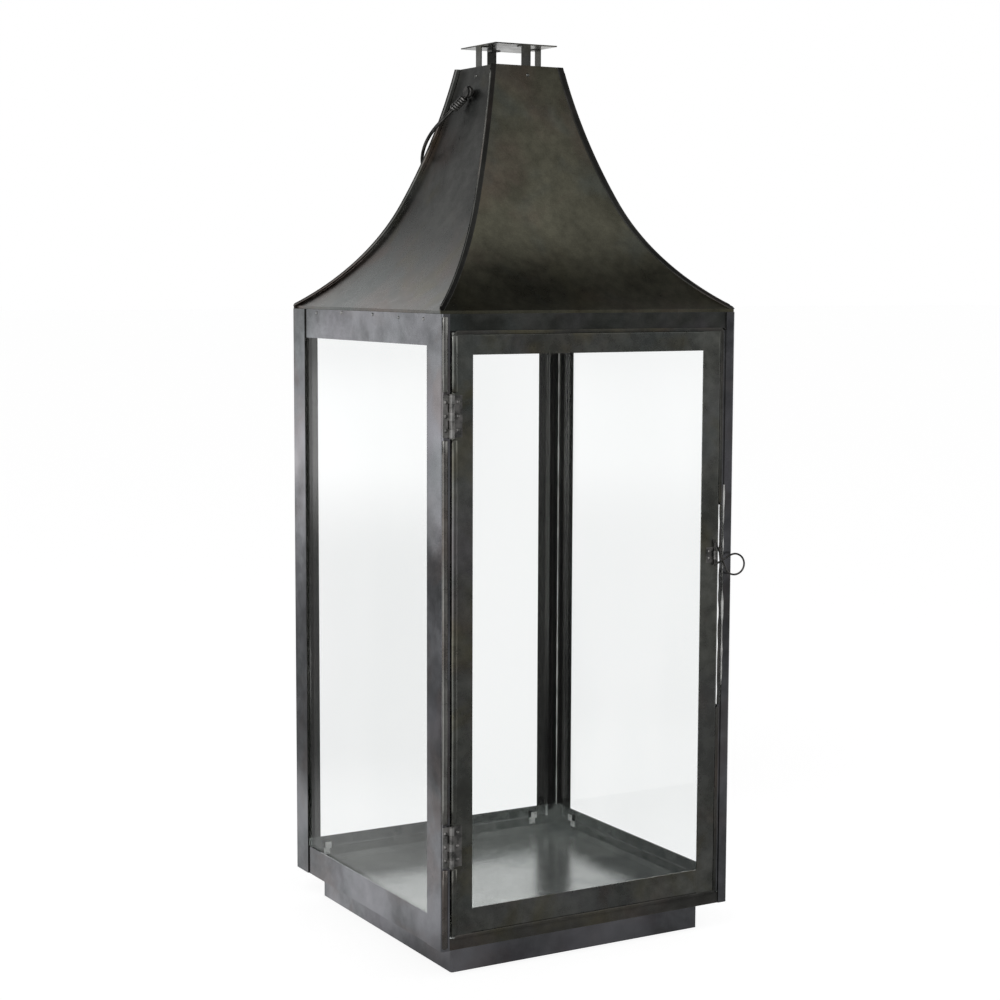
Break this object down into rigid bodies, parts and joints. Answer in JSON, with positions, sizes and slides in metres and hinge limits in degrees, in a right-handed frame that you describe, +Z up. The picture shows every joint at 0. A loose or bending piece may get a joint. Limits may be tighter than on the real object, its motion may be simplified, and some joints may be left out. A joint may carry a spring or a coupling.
{
  "type": "candle lantern",
  "caption": "Tall square metal candle lantern with clear glass sides, a hinged glass door with a wire pull ring, a flared chimney roof under a small vent cap, and a swinging wire bail.",
  "frame": {"origin": "on the floor under the middle of the square plinth", "axes": "+Z up; the glass door faces -Y, with its hinges on the -X side"},
  "size_m": [0.2885, 0.288, 0.7574],
  "materials": {
    "dark_sheet": "antiqued dark gunmetal patina, satin",
    "tray_sheet": "antiqued grey patina, semi-gloss",
    "iron_hardware": "blackened iron, satin",
    "clip_tin": "plain tinned sheet",
    "clear_glass": "clear polished float glass"
  },
  "bodies": {
    "lantern_body": {"bail_stud_left": "iron_hardware", "bail_stud_right": "iron_hardware", "bottom_rail_back": "dark_sheet", "bottom_rail_left": "dark_sheet", "bottom_rail_right": "dark_sheet", "door_stop": "dark_sheet", "floor_tray": "tray_sheet", "header_front": "dark_sheet", "hinge_lower_pin": "iron_hardware", "hinge_lower_post_leaf": "iron_hardware", "hinge_post_rivets": "iron_hardware", "hinge_upper_pin": "iron_hardware", "hinge_upper_post_leaf": "iron_hardware", "pane_back": "clear_glass", "pane_clips_back": "clip_tin", "pane_clips_left": "clip_tin", "pane_clips_right": "clip_tin", "pane_left": "clear_glass", "pane_right": "clear_glass", "plinth_back_right": "dark_sheet", "plinth_front_left": "dark_sheet", "post_back_left": "dark_sheet", "post_back_right": "dark_sheet", "post_front_left": "dark_sheet", "post_front_right": "dark_sheet", "roof_panel_back": "dark_sheet", "roof_panel_front": "dark_sheet", "roof_panel_left": "dark_sheet", "roof_panel_right": "dark_sheet", "roof_seam_back_left": "dark_sheet", "roof_seam_back_right": "dark_sheet", "roof_seam_front_left": "dark_sheet", "roof_seam_front_right": "dark_sheet", "sill_front": "dark_sheet", "top_rail_back": "dark_sheet", "top_rail_left": "dark_sheet", "top_rail_right": "dark_sheet", "vent_cap": "dark_sheet", "vent_strap_back": "dark_sheet", "vent_strap_front": "dark_sheet", "vent_strap_left": "dark_sheet", "vent_strap_right": "dark_sheet", "vent_strap_rivets": "iron_hardware"},
    "door": {"door_pane": "clear_glass", "door_pane_clips": "clip_tin", "door_rail_bottom": "dark_sheet", "door_rail_top": "dark_sheet", "door_stile_hinge": "dark_sheet", "door_stile_latch": "dark_sheet", "hinge_door_rivets": "iron_hardware", "hinge_lower_door_leaf": "iron_hardware", "hinge_upper_door_leaf": "iron_hardware", "pull_bracket": "iron_hardware", "pull_bracket_rivets": "iron_hardware"},
    "bail": {"bail": "iron_hardware"},
    "pull_ring": {"pull_ring": "iron_hardware"}
  },
  "joints": [
    {"name": "door_hinge", "type": "hinge", "parent": "lantern_body", "child": "door", "pos_m": [-0.13255, -0.1424, 0.2828], "axis": [0, 0, -1], "range_deg": [0, 180]},
    {"name": "bail_pivot", "type": "hinge", "parent": "lantern_body", "child": "bail", "pos_m": [0, 0, 0.718], "axis": [1, 0, 0], "range_deg": [0, 268.8]},
    {"name": "pull_pivot", "type": "hinge", "parent": "door", "child": "pull_ring", "pos_m": [0.121, -0.14206, 0.3297], "axis": [0, 0, -1], "range_deg": [-9, 139]}
  ]
}
